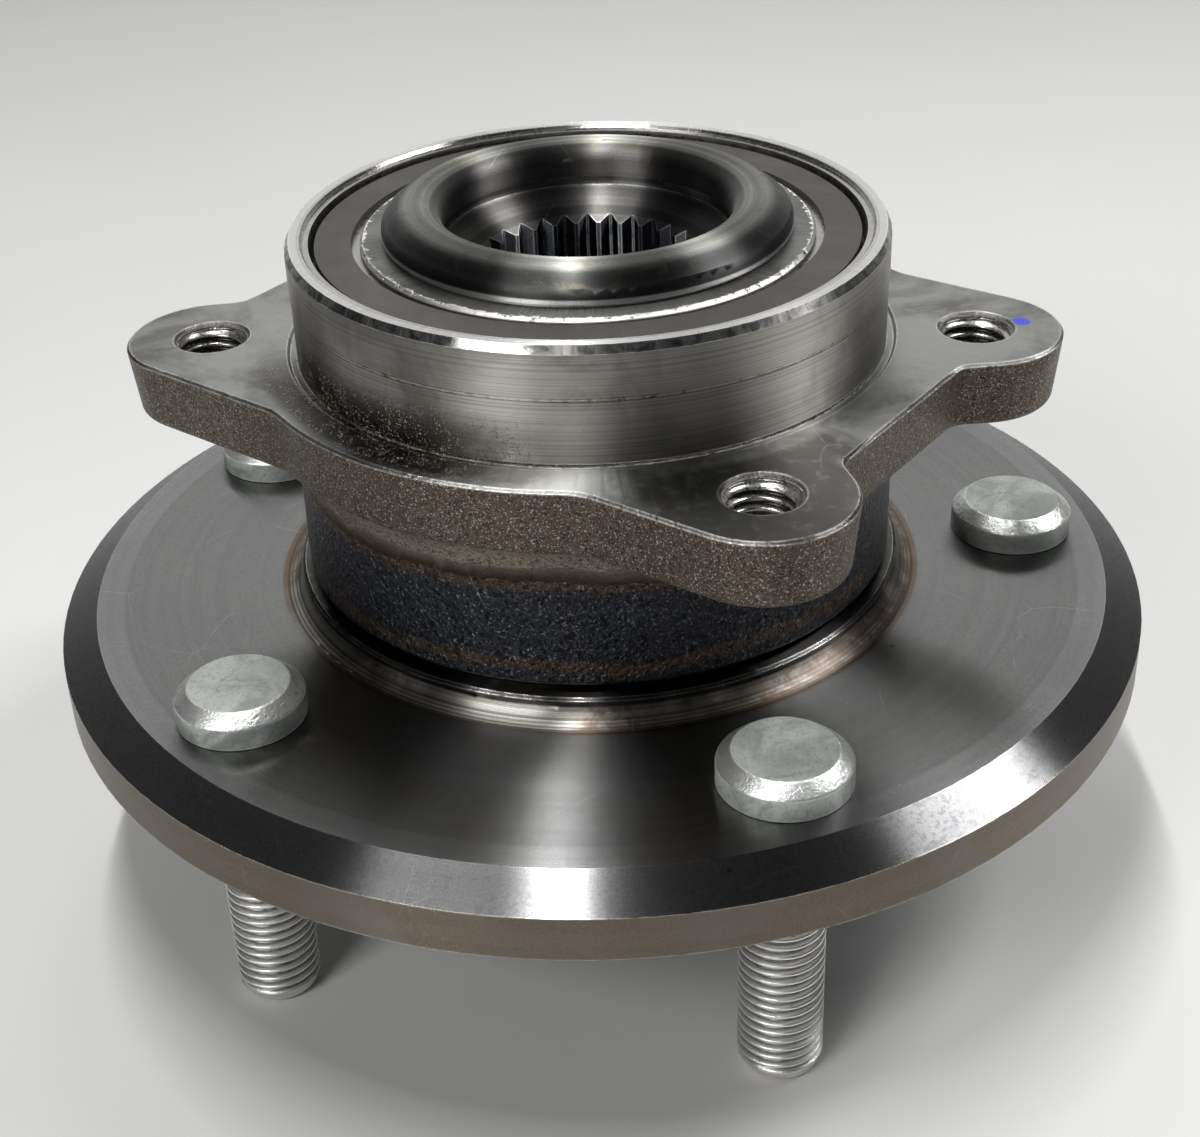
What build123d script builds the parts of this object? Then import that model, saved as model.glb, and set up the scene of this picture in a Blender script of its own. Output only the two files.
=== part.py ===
from build123d import *
import os
from math import acos, atan2, cos, degrees, hypot, radians, sin, tan

os.makedirs("parts", exist_ok=True)

# Wheel hub bearing: a splined wheel hub that turns on two rows of angular-contact balls inside
# a fixed outer ring with four threaded lugs. Millimetres. Z = 0 is the face that the brake disc
# and the wheel are bolted against, and +Z points inboard, to the steering knuckle.

# Wheel flange and wheel pilot
flange_margin = 17.5  # from the stud circle out to the rim
flange_thickness = 10.4
rim_height = 7.0  # the straight part of the rim, below the bevel
bevel_width = 5.4
rim_edge_chamfer = 0.5
wheel_pilot_radius = 35.75
wheel_pilot_length = 11.0
wheel_pilot_lead_width = 1.0
wheel_pilot_lead_height = 2.2
wheel_groove_width = 1.6  # the relief in the wheel face at the pilot's foot
wheel_groove_depth = 0.7
recess_radius = 27.5  # the pocket that the axle nut stands in
recess_taper = 1.6
nut_seat_height = 6.0

# Boss on the flange, round the foot of the outer ring
boss_radius = 44.8
boss_rise = 3.5
boss_fillet = 2.8
boss_edge_chamfer = 0.4
seal_land_fillet = 5.0

# Splined bore, and the lip rolled over the inner ring
spline_count = 30
spline_minor_radius = 15.35
spline_depth = 1.15
spline_crest_width = 0.6
spline_root_width = 0.4
lead_angle = 50.0  # of the cones into the spline, from the axis
mouth_radius = 20.3
mouth_depth = 6.0
mouth_round = 2.6
lip_height = 4.6
lip_radius = 28.7
lip_foot_radius = 28.1
lip_foot_height = 0.6
lip_rim_height = 2.2
lip_rim_round = 1.4
lip_crown_radius = 25.8
lip_crown_round = 4.5

# Ball rows
ball_radius = 6.35
balls_per_row = 14
pitch_radius = 33.2
outboard_row_rise = 14.1  # from the boss's face to the outboard ball centres
row_spacing = 21.0
contact_angle = 40.0
groove_radius = 6.6
running_clearance = 0.1

# Races of the hub and the inner ring
seal_land_radius = 30.6
spindle_radius = 22.5
inner_ring_radius = 31.8
inner_ring_length = 25.0
inner_ring_chamfer = 0.8
inner_ring_edge_chamfer = 0.4
inner_ring_overhang = 14.2  # from the inboard ball centres to the ring's inboard face

# Outer ring
outer_ring_gap = 1.2  # between the boss and the ring's outboard end
ring_end_step = 1.0  # that the inboard end stands past the inner ring's face
barrel_wall = 3.8
barrel_chamfer = 0.4
bore_chamfer = 0.4
ring_shoulder_radius = 35.6
pilot_radius = 42.2
pilot_height = 16.4
pilot_chamfer_width = 0.6
pilot_chamfer_height = 1.1
pilot_relief_depth = 0.15
pilot_relief_height = 9.0
knuckle_groove_width = 1.4  # the relief in the lug face at the pilot's foot
knuckle_groove_depth = 0.4

# Lugged flange of the outer ring
lug_thickness = 10.0
lug_draft = 6.0
lug_top_chamfer = 0.4
lug_edge_radius = 1.2
ring_flange_setback = 5.7  # from the lug circle in to the rim of the flange
neck_height = 6.0
lug_circle_radius = 54.7
lug_tip_radius = 12.2
near_flare = 8.0  # of the two lug sides that face each other across a flat
near_fillet = 3.0
far_fillet = 8.0
far_side_overrun = 3.0  # that a lug's outer side runs on into the ring
lug_thread_radius = 5.0
lug_countersink_radius = 5.5
front_lug_angles = (-5.0, -68.3)
front_foot_angle = 24.5  # from a lug's middle to where its outer side meets the ring
front_flat_margin = 1.8  # that the flat between the lugs stands out of the flange's rim
rear_lug_angles = (178.6, 108.1)
rear_foot_angle = 30.0
rear_flat_margin = 1.0

# Wheel studs, pressed in from the inboard side
stud_count = 5
stud_circle_radius = 63.5
stud_first_angle = 2.9
stud_thread_radius = 6.0
stud_knurl_radius = 6.6
stud_knurl_lead = 0.6
stud_head_radius = 9.0
stud_head_height = 5.0
stud_head_chamfer_width = 2.0
stud_head_chamfer_height = 1.7
stud_reach = 37.7  # past the wheel face
stud_tip_radius = 3.6
stud_tip_round = 2.4

# Ball cages
cage_inner_radius = 32.1
cage_outer_radius = 35.2
cage_base_reach = 7.4  # from the ball centres to the closed side
cage_mouth_reach = 3.2  # and to the open side
pocket_clearance = 0.25

# Seals
seal_steel = 0.8
seal_inset = 0.6
seal_lip_gap = 0.3
seal_rubber = 0.9
outboard_seal_height = 3.6
inboard_seal_height = 6.0
seal_flange_reach = 5.2  # inward from the outer ring's bore
axial_lip_inset = 1.8
axial_lip_width = 0.6
slinger_wall = 0.6
slinger_sleeve_length = 5.0
encoder_inner_radius = 33.0
encoder_outer_radius = 38.1
encoder_thickness = 0.9
encoder_inset = 0.2  # below the inner ring's face


def polar(radius, angle):
    return (radius * cos(radians(angle)), radius * sin(radians(angle)))


def corner(section, radius, height):
    """The corner of a section that is nearest to a radius and a height."""
    return section.vertices().sort_by_distance((radius, height))[0]


# The circles of the race grooves lie back from the ball centres along the contact lines, so a
# ball stands off its races by the running clearance at the contact angle and by more elsewhere.
setback = groove_radius - ball_radius - running_clearance
radial_setback = setback * cos(radians(contact_angle))
axial_setback = setback * sin(radians(contact_angle))
inner_groove_radius = pitch_radius + radial_setback
outer_groove_radius = pitch_radius - radial_setback
race_floor_radius = inner_groove_radius - groove_radius
bore_radius = outer_groove_radius + groove_radius

flange_radius = stud_circle_radius + flange_margin
seal_case_inner_radius = bore_radius - seal_flange_reach
barrel_radius = bore_radius + barrel_wall
ring_flange_radius = lug_circle_radius - ring_flange_setback

# Heights along the axis
boss_height = flange_thickness + boss_rise
outboard_row_height = boss_height + outboard_row_rise
inboard_row_height = outboard_row_height + row_spacing
inner_ring_top = inboard_row_height + inner_ring_overhang
inner_ring_start = inner_ring_top - inner_ring_length
lip_top = inner_ring_top + lip_height
mouth_floor = lip_top - mouth_depth
ring_start = boss_height + outer_ring_gap
ring_top = inner_ring_top + ring_end_step
lug_face_height = ring_top - pilot_height
lug_back_height = lug_face_height - lug_thickness

# Wheel hub: flange, pilot, boss, spindle with the outboard inner race, and the rolled lip
spline_root_radius = spline_minor_radius + spline_depth
lead_slope = tan(radians(lead_angle))
upper_lead_height = (mouth_radius - spline_minor_radius) / lead_slope
lower_lead_radius = spline_root_radius + 0.3
lower_lead_height = (lower_lead_radius - spline_minor_radius) / lead_slope
spline_pitch_width = 2 * spline_minor_radius * sin(radians(180 / spline_count))
wheel_groove_radius = wheel_pilot_radius + wheel_groove_width
stud_angles = [stud_first_angle + 360 / stud_count * n for n in range(stud_count)]

with BuildPart() as wheel_hub:
    with BuildSketch(Plane.XZ) as hub_section:
        with BuildLine():
            Polyline(
                (spline_minor_radius, nut_seat_height + lower_lead_height),
                (lower_lead_radius, nut_seat_height),
                (recess_radius - recess_taper, nut_seat_height),
                (recess_radius, -wheel_pilot_length),
                (wheel_pilot_radius - wheel_pilot_lead_width, -wheel_pilot_length),
                (wheel_pilot_radius, wheel_pilot_lead_height - wheel_pilot_length),
                (wheel_pilot_radius, wheel_groove_depth),
                (wheel_groove_radius - wheel_groove_depth, wheel_groove_depth),
                (wheel_groove_radius, 0),
                (flange_radius - rim_edge_chamfer, 0),
                (flange_radius, rim_edge_chamfer),
                (flange_radius, rim_height),
                (flange_radius - bevel_width, flange_thickness),
                (boss_radius, flange_thickness),
                (boss_radius, boss_height - boss_edge_chamfer),
                (boss_radius - boss_edge_chamfer, boss_height),
                (seal_land_radius, boss_height),
                (seal_land_radius, outboard_row_height + axial_setback),
                (race_floor_radius, outboard_row_height + axial_setback),
                (race_floor_radius, inner_ring_start),
                (spindle_radius, inner_ring_start),
                (spindle_radius, inner_ring_top),
                (lip_foot_radius, inner_ring_top),
                (lip_radius, inner_ring_top + lip_foot_height),
                (lip_radius, inner_ring_top + lip_rim_height),
                (lip_crown_radius, lip_top),
                (mouth_radius, lip_top),
                (mouth_radius, mouth_floor),
                (spline_minor_radius, mouth_floor - upper_lead_height),
                close=True,
            )
        make_face()
        with Locations((inner_groove_radius, outboard_row_height + axial_setback)):
            Circle(groove_radius, mode=Mode.SUBTRACT)
        fillet(corner(hub_section, boss_radius, flange_thickness), boss_fillet)
        fillet(corner(hub_section, seal_land_radius, boss_height), seal_land_fillet)
        fillet(corner(hub_section, lip_radius, inner_ring_top + lip_rim_height), lip_rim_round)
        fillet(corner(hub_section, lip_crown_radius, lip_top), lip_crown_round)
        fillet(corner(hub_section, mouth_radius, lip_top), mouth_round)
    revolve(axis=Axis.Z)
    # V-shaped spline spaces, whose pointed ends show where they run out into the lead-in cone
    with BuildSketch(Plane.XY.offset(nut_seat_height)):
        with PolarLocations(spline_minor_radius, spline_count, start_angle=90):
            Polygon(
                (-spline_crest_width / 2, -spline_pitch_width / 2 + spline_crest_width / 2),
                (0, -spline_pitch_width / 2 + spline_crest_width / 2),
                (spline_depth, -spline_root_width / 2),
                (spline_depth, spline_root_width / 2),
                (0, spline_pitch_width / 2 - spline_crest_width / 2),
                (-spline_crest_width / 2, spline_pitch_width / 2 - spline_crest_width / 2),
                align=None,
            )
    extrude(amount=mouth_floor - nut_seat_height, mode=Mode.SUBTRACT)
    with BuildSketch(Plane.XY):
        with PolarLocations(stud_circle_radius, stud_count, start_angle=stud_first_angle):
            Circle(stud_knurl_radius)
    extrude(amount=flange_thickness, mode=Mode.SUBTRACT)
wheel_hub.part.label = "wheel_hub"
export_step(wheel_hub.part, "parts/wheel_hub.step")

# Inner ring of the inboard row, held against the spindle's shoulder by the rolled lip
with BuildPart() as inner_ring:
    with BuildSketch(Plane.XZ) as inner_section:
        with BuildLine():
            Polyline(
                (spindle_radius, inner_ring_start + inner_ring_chamfer),
                (spindle_radius + inner_ring_chamfer, inner_ring_start),
                (race_floor_radius, inner_ring_start),
                (race_floor_radius, inboard_row_height - axial_setback),
                (inner_ring_radius, inboard_row_height - axial_setback),
                (inner_ring_radius, inner_ring_top - inner_ring_edge_chamfer),
                (inner_ring_radius - inner_ring_edge_chamfer, inner_ring_top),
                (spindle_radius, inner_ring_top),
                close=True,
            )
        make_face()
        with Locations((inner_groove_radius, inboard_row_height - axial_setback)):
            Circle(groove_radius, mode=Mode.SUBTRACT)
    revolve(axis=Axis.Z)
inner_ring.part.label = "inner_ring"
export_step(inner_ring.part, "parts/inner_ring.step")


# Outer ring: barrel, lugged flange and knuckle pilot, with both outer races in its bore
def near_lug_side(side):
    """The side that faces the other lug of a pair, from the tip circle in to the ring."""
    start_x = lug_circle_radius + lug_tip_radius * sin(radians(near_flare))
    start_y = lug_tip_radius * cos(radians(near_flare))
    end_x = ring_flange_radius / 2
    end_y = start_y + (start_x - end_x) * tan(radians(near_flare))
    return [(start_x, side * start_y), (end_x, side * end_y)]


def far_lug_side(foot_angle, side):
    """The outer side: the tangent to the tip circle from a point on the ring's rim."""
    foot_x, foot_y = polar(ring_flange_radius, foot_angle)
    foot_distance = hypot(foot_x - lug_circle_radius, foot_y)
    bearing = degrees(atan2(foot_y, foot_x - lug_circle_radius))
    touch_angle = bearing - degrees(acos(lug_tip_radius / foot_distance))
    touch_x, touch_y = polar(lug_tip_radius, touch_angle)
    touch_x += lug_circle_radius
    share = far_side_overrun / hypot(foot_x - touch_x, foot_y - touch_y)
    end_x = foot_x + (foot_x - touch_x) * share
    end_y = foot_y + (foot_y - touch_y) * share
    return [(touch_x, side * touch_y), (end_x, side * end_y)]


lug_pairs = (
    (front_lug_angles, front_foot_angle, ring_flange_radius + front_flat_margin),
    (rear_lug_angles, rear_foot_angle, ring_flange_radius + rear_flat_margin),
)
lug_angles = front_lug_angles + rear_lug_angles
lug_back_radius = ring_flange_radius - lug_thickness * tan(radians(lug_draft))
neck_radius = lug_back_radius - lug_edge_radius
ring_core_radius = ring_shoulder_radius / 2
relief_radius = pilot_radius - pilot_relief_depth
knuckle_groove_radius = relief_radius + knuckle_groove_width
outer_groove_heights = (
    outboard_row_height - axial_setback,
    inboard_row_height + axial_setback,
)

with BuildPart() as outer_ring:
    with BuildSketch(Plane.XY.offset(lug_face_height)) as lug_outline:
        Circle(ring_flange_radius)
        for (high_angle, low_angle), foot_angle, flat_distance in lug_pairs:
            for angle, near_side in ((high_angle, -1), (low_angle, 1)):
                with Locations(Location((0, 0, 0), (0, 0, angle))):
                    near = near_lug_side(near_side)
                    far = far_lug_side(foot_angle, -near_side)
                    Polygon(*near, (0, 0), *reversed(far), align=None)
                with Locations(polar(lug_circle_radius, angle)):
                    Circle(lug_tip_radius)
            half_gap = (high_angle - low_angle) / 2
            flat_width = 2 * lug_circle_radius * sin(radians(half_gap))
            with Locations(Location((0, 0, 0), (0, 0, low_angle + half_gap))):
                with Locations((flat_distance / 2, 0)):
                    Rectangle(flat_distance, flat_width)
        fillet(
            lug_outline.vertices().filter_by(
                lambda v: ring_flange_radius + 0.5 < hypot(v.X, v.Y) < lug_circle_radius
            ),
            near_fillet,
        )
        fillet(
            lug_outline.vertices().filter_by(
                lambda v: abs(hypot(v.X, v.Y) - ring_flange_radius) < 0.01
            ),
            far_fillet,
        )
    extrude(amount=-lug_thickness, taper=lug_draft)
    fillet(outer_ring.faces().sort_by(Axis.Z)[0].edges(), lug_edge_radius)
    chamfer(outer_ring.faces().sort_by(Axis.Z)[-1].edges(), lug_top_chamfer)
    with BuildSketch(Plane.XZ) as ring_section:
        with BuildLine():
            neck_start = (barrel_radius, lug_back_height - neck_height)
            neck_end = (neck_radius, lug_back_height)
            Polyline(
                neck_end,
                (neck_radius, lug_face_height - lug_top_chamfer),
                (relief_radius, lug_face_height - lug_top_chamfer),
                (relief_radius, lug_face_height + pilot_relief_height),
                (pilot_radius, lug_face_height + pilot_relief_height + pilot_relief_depth),
                (pilot_radius, ring_top - pilot_chamfer_height),
                (pilot_radius - pilot_chamfer_width, ring_top),
                (ring_core_radius, ring_top),
                (ring_core_radius, ring_start),
                (barrel_radius - barrel_chamfer, ring_start),
                (barrel_radius, ring_start + barrel_chamfer),
                neck_start,
            )
            TangentArc(neck_start, neck_end, tangent=(0, 1))
        make_face()
    revolve(axis=Axis.Z)
    with BuildSketch(Plane.XZ) as bore_section:
        bore_ends = (
            (ring_start, outer_groove_heights[0]),
            (outer_groove_heights[1], ring_top),
        )
        with Locations((0, ring_start)):
            Rectangle(ring_shoulder_radius, ring_top - ring_start, align=(Align.MIN, Align.MIN))
        for low, high in bore_ends:
            with Locations((0, low)):
                Rectangle(bore_radius, high - low, align=(Align.MIN, Align.MIN))
        for height in outer_groove_heights:
            with Locations((outer_groove_radius, height)):
                Circle(groove_radius)
        for height, way in ((ring_start, 1), (ring_top, -1)):
            Polygon(
                (bore_radius - bore_chamfer, height),
                (bore_radius + bore_chamfer, height),
                (bore_radius, height + way * bore_chamfer),
                align=None,
            )
        Polygon(
            (relief_radius, lug_face_height),
            (relief_radius, lug_face_height - knuckle_groove_depth),
            (knuckle_groove_radius - knuckle_groove_depth, lug_face_height - knuckle_groove_depth),
            (knuckle_groove_radius, lug_face_height),
            align=None,
        )
    revolve(axis=Axis.Z, mode=Mode.SUBTRACT)
    with Locations(*[(*polar(lug_circle_radius, angle), lug_face_height) for angle in lug_angles]):
        CounterSinkHole(lug_thread_radius, lug_countersink_radius, depth=lug_thickness)
outer_ring.part.label = "outer_ring"
export_step(outer_ring.part, "parts/outer_ring.step")

# Wheel studs, each with a wide chamfered head, a knurl in the flange and a rounded tip
stud_seat = flange_thickness
for number, angle in enumerate(stud_angles, start=1):
    stud_x, stud_y = polar(stud_circle_radius, angle)
    with BuildPart() as wheel_stud:
        stud_plane = Plane(origin=(stud_x, stud_y, 0), x_dir=(1, 0, 0), z_dir=(0, -1, 0))
        with BuildSketch(stud_plane) as stud_section:
            with BuildLine():
                Polyline(
                    (0, -stud_reach),
                    (stud_tip_radius, -stud_reach),
                    (stud_thread_radius, -stud_reach + stud_tip_round),
                    (stud_thread_radius, 0),
                    (stud_knurl_radius, stud_knurl_lead),
                    (stud_knurl_radius, stud_seat),
                    (stud_head_radius, stud_seat),
                    (stud_head_radius, stud_seat + stud_head_height - stud_head_chamfer_height),
                    (stud_head_radius - stud_head_chamfer_width, stud_seat + stud_head_height),
                    (0, stud_seat + stud_head_height),
                    close=True,
                )
            make_face()
            tip_edge = corner(stud_section, stud_thread_radius, -stud_reach + stud_tip_round)
            fillet(tip_edge, stud_tip_round)
        revolve(axis=Axis((stud_x, stud_y, 0), (0, 0, 1)))
    wheel_stud.part.label = f"wheel_stud_{number}"
    export_step(wheel_stud.part, f"parts/wheel_stud_{number}.step")

# Balls and cages. A cage is closed on the side that faces its own end of the bearing.
ball_rows = (
    ("outboard", outboard_row_height, -1, 0.0),
    ("inboard", inboard_row_height, 1, 180 / balls_per_row),
)
for row, height, closed_side, first_angle in ball_rows:
    for number in range(balls_per_row):
        ball_x, ball_y = polar(pitch_radius, first_angle + 360 / balls_per_row * number)
        with BuildPart(Plane(origin=(ball_x, ball_y, height))) as ball:
            Sphere(ball_radius)
        ball.part.label = f"{row}_ball_{number + 1}"
        export_step(ball.part, f"parts/{row}_ball_{number + 1}.step")

    with BuildPart() as cage:
        with BuildSketch(Plane.XZ):
            closed_height = height + closed_side * cage_base_reach
            open_height = height - closed_side * cage_mouth_reach
            with Locations((cage_inner_radius, min(closed_height, open_height))):
                Rectangle(
                    cage_outer_radius - cage_inner_radius,
                    cage_base_reach + cage_mouth_reach,
                    align=(Align.MIN, Align.MIN),
                )
        revolve(axis=Axis.Z)
        with Locations((0, 0, height)):
            with PolarLocations(pitch_radius, balls_per_row, start_angle=first_angle):
                Sphere(ball_radius + pocket_clearance, mode=Mode.SUBTRACT)
    cage.part.label = f"{row}_cage"
    export_step(cage.part, f"parts/{row}_cage.step")

# Outboard seal: a steel case in the outer ring, with a rubber ring whose lips face the hub
case_wall_radius = bore_radius - seal_steel
axial_lip_outer_radius = case_wall_radius - axial_lip_inset
axial_lip_inner_radius = axial_lip_outer_radius - axial_lip_width
outboard_case_start = ring_start + seal_inset
outboard_case_top = outboard_case_start + outboard_seal_height
outboard_case_floor = outboard_case_top - seal_steel

with BuildPart() as outboard_seal_case:
    with BuildSketch(Plane.XZ):
        with BuildLine():
            Polyline(
                (bore_radius, outboard_case_start),
                (bore_radius, outboard_case_top),
                (seal_case_inner_radius, outboard_case_top),
                (seal_case_inner_radius, outboard_case_floor),
                (case_wall_radius, outboard_case_floor),
                (case_wall_radius, outboard_case_start),
                close=True,
            )
        make_face()
    revolve(axis=Axis.Z)
outboard_seal_case.part.label = "outboard_seal_case"
export_step(outboard_seal_case.part, "parts/outboard_seal_case.step")

outboard_lip_root = outboard_case_floor - seal_rubber
axial_lip_tip = boss_height + seal_lip_gap
with BuildPart() as outboard_seal_lip:
    with BuildSketch(Plane.XZ):
        with BuildLine():
            Polyline(
                (case_wall_radius, outboard_case_floor),
                (seal_case_inner_radius, outboard_case_floor),
                (seal_case_inner_radius, outboard_case_top),
                (seal_case_inner_radius - seal_rubber, outboard_case_top),
                (seal_land_radius + seal_lip_gap, outboard_case_top + seal_lip_gap),
                (seal_land_radius + seal_lip_gap, outboard_case_top - seal_lip_gap),
                (seal_case_inner_radius - seal_rubber, outboard_lip_root),
                (seal_case_inner_radius + seal_rubber, outboard_lip_root),
                (axial_lip_inner_radius, axial_lip_tip),
                (axial_lip_outer_radius, axial_lip_tip),
                (axial_lip_outer_radius, outboard_lip_root),
                (case_wall_radius, outboard_lip_root),
                close=True,
            )
        make_face()
    revolve(axis=Axis.Z)
outboard_seal_lip.part.label = "outboard_seal_lip"
export_step(outboard_seal_lip.part, "parts/outboard_seal_lip.step")

# Inboard seal: a case and lip in the outer ring, and a slinger with the encoder on the inner ring
encoder_top = inner_ring_top - encoder_inset
slinger_top = encoder_top - encoder_thickness
slinger_floor = slinger_top - slinger_wall
slinger_sleeve_radius = inner_ring_radius + slinger_wall
inboard_case_top = ring_top - seal_inset
inboard_case_start = inboard_case_top - inboard_seal_height
inboard_case_floor = inboard_case_start + seal_steel

with BuildPart() as inboard_seal_case:
    with BuildSketch(Plane.XZ):
        with BuildLine():
            Polyline(
                (bore_radius, inboard_case_top),
                (bore_radius, inboard_case_start),
                (seal_case_inner_radius, inboard_case_start),
                (seal_case_inner_radius, inboard_case_floor),
                (case_wall_radius, inboard_case_floor),
                (case_wall_radius, inboard_case_top),
                close=True,
            )
        make_face()
    revolve(axis=Axis.Z)
inboard_seal_case.part.label = "inboard_seal_case"
export_step(inboard_seal_case.part, "parts/inboard_seal_case.step")

inboard_lip_root = inboard_case_floor + seal_rubber
with BuildPart() as inboard_seal_lip:
    with BuildSketch(Plane.XZ):
        with BuildLine():
            Polyline(
                (case_wall_radius, inboard_case_floor),
                (seal_case_inner_radius, inboard_case_floor),
                (seal_case_inner_radius, inboard_case_start),
                (seal_case_inner_radius - seal_rubber, inboard_case_start),
                (slinger_sleeve_radius + seal_lip_gap, inboard_case_start + seal_lip_gap),
                (slinger_sleeve_radius + seal_lip_gap, inboard_case_floor),
                (seal_case_inner_radius - seal_rubber, inboard_lip_root),
                (seal_case_inner_radius + seal_rubber, inboard_lip_root),
                (axial_lip_inner_radius, slinger_floor - seal_lip_gap),
                (axial_lip_outer_radius, slinger_floor - seal_lip_gap),
                (axial_lip_outer_radius, inboard_lip_root),
                (case_wall_radius, inboard_lip_root),
                close=True,
            )
        make_face()
    revolve(axis=Axis.Z)
inboard_seal_lip.part.label = "inboard_seal_lip"
export_step(inboard_seal_lip.part, "parts/inboard_seal_lip.step")

with BuildPart() as seal_slinger:
    with BuildSketch(Plane.XZ):
        with BuildLine():
            Polyline(
                (inner_ring_radius, slinger_top),
                (inner_ring_radius, slinger_top - slinger_sleeve_length),
                (slinger_sleeve_radius, slinger_top - slinger_sleeve_length),
                (slinger_sleeve_radius, slinger_floor),
                (encoder_outer_radius, slinger_floor),
                (encoder_outer_radius, slinger_top),
                close=True,
            )
        make_face()
    revolve(axis=Axis.Z)
seal_slinger.part.label = "seal_slinger"
export_step(seal_slinger.part, "parts/seal_slinger.step")

with BuildPart() as encoder_ring:
    with BuildSketch(Plane.XZ):
        with Locations((encoder_inner_radius, slinger_top)):
            Rectangle(
                encoder_outer_radius - encoder_inner_radius,
                encoder_thickness,
                align=(Align.MIN, Align.MIN),
            )
    revolve(axis=Axis.Z)
encoder_ring.part.label = "encoder_ring"
export_step(encoder_ring.part, "parts/encoder_ring.step")
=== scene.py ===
from math import radians

import bpy
import numpy as np
from mathutils import Matrix, Vector


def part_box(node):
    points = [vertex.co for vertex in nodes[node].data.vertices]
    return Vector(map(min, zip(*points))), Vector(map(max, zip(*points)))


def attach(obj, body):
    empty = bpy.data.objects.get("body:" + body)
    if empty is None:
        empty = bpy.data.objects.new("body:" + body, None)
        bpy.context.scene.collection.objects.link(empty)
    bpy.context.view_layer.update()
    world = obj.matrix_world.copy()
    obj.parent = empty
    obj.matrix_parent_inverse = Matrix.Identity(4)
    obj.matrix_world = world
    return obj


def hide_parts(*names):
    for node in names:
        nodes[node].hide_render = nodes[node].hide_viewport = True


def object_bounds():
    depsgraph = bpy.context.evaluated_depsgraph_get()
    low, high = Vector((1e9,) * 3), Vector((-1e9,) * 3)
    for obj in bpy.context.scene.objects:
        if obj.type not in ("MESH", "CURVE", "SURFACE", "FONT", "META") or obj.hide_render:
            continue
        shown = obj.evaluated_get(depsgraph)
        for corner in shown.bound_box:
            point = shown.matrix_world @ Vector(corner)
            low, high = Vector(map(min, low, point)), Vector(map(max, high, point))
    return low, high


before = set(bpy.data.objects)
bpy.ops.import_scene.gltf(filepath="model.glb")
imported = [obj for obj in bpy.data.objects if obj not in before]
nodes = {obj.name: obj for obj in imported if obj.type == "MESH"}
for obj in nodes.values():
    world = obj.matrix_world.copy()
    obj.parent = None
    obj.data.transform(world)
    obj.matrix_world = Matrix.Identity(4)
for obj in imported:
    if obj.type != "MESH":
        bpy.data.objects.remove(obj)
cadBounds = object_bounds()

mm = 0.001


# small helpers for node trees
def addNode(tree, kind, **settings):
    node = tree.nodes.new(kind)
    for key, value in settings.items():
        setattr(node, key, value)
    return node


def fill(node, **values):
    # puts plain numbers or colours into a node's sockets; underscores stand for spaces
    for key, value in values.items():
        node.inputs[key.replace("_", " ")].default_value = value
    return node


def plug(tree, target, source):
    # a socket is wired, anything else is set as a value
    if isinstance(source, bpy.types.NodeSocket):
        tree.links.new(source, target)
    else:
        target.default_value = source


def calc(tree, operation, *sources):
    node = addNode(tree, "ShaderNodeMath", operation=operation)
    for slot, source in enumerate(sources):
        plug(tree, node.inputs[slot], source)
    return node.outputs[0]


def ramp(tree, value, low, high, start=0.0, end=1.0):
    # smooth step from start to end while value goes from low to high
    node = addNode(tree, "ShaderNodeMapRange", interpolation_type="SMOOTHSTEP")
    for slot, source in enumerate((value, low, high, start, end)):
        plug(tree, node.inputs[slot], source)
    return node.outputs[0]


def both(tree, *masks):
    product = masks[0]
    for mask in masks[1:]:
        product = calc(tree, "MULTIPLY", product, mask)
    return product


def either(tree, *masks):
    most = masks[0]
    for mask in masks[1:]:
        most = calc(tree, "MAXIMUM", most, mask)
    return most


def band(tree, value, low, high, soft):
    # 1 between low and high, falling to 0 over soft on both sides
    return both(tree, ramp(tree, value, low - soft, low), ramp(tree, value, high + soft, high))


def past(tree, value, limits):
    # 0 before the first limit, 1 past the second; the limits are in mm
    return ramp(tree, value, limits[0] * mm, limits[1] * mm)


def within(tree, value, limits, soft):
    # 1 between two limits; these and soft are in mm
    return band(tree, value, limits[0] * mm, limits[1] * mm, soft * mm)


def around(tree, value, middle, amount):
    # a signed wobble: how far value is from middle, times amount
    return calc(tree, "MULTIPLY", calc(tree, "SUBTRACT", value, middle), amount)


def mixColor(tree, factor, first, second):
    node = addNode(tree, "ShaderNodeMix", data_type="RGBA")
    plug(tree, node.inputs["Factor"], factor)
    plug(tree, node.inputs[6], first)
    plug(tree, node.inputs[7], second)
    return node.outputs[2]


def mixValue(tree, factor, first, second):
    node = addNode(tree, "ShaderNodeMix", data_type="FLOAT")
    plug(tree, node.inputs["Factor"], factor)
    plug(tree, node.inputs[2], first)
    plug(tree, node.inputs[3], second)
    return node.outputs[0]


def noise(tree, vector, scale, detail=3.0, roughness=0.55, distortion=0.0):
    node = addNode(tree, "ShaderNodeTexNoise", noise_dimensions="3D")
    plug(tree, node.inputs["Vector"], vector)
    plug(tree, node.inputs["Scale"], scale)
    fill(node, Detail=detail, Roughness=roughness, Distortion=distortion)
    return node.outputs["Fac"]


def lineNoise(tree, value, scale, detail=4.0, roughness=0.7):
    # noise along one number only, so it is the same right round a circle
    node = addNode(tree, "ShaderNodeTexNoise", noise_dimensions="1D")
    plug(tree, node.inputs["W"], value)
    plug(tree, node.inputs["Scale"], scale)
    fill(node, Detail=detail, Roughness=roughness)
    return node.outputs["Fac"]


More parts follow.
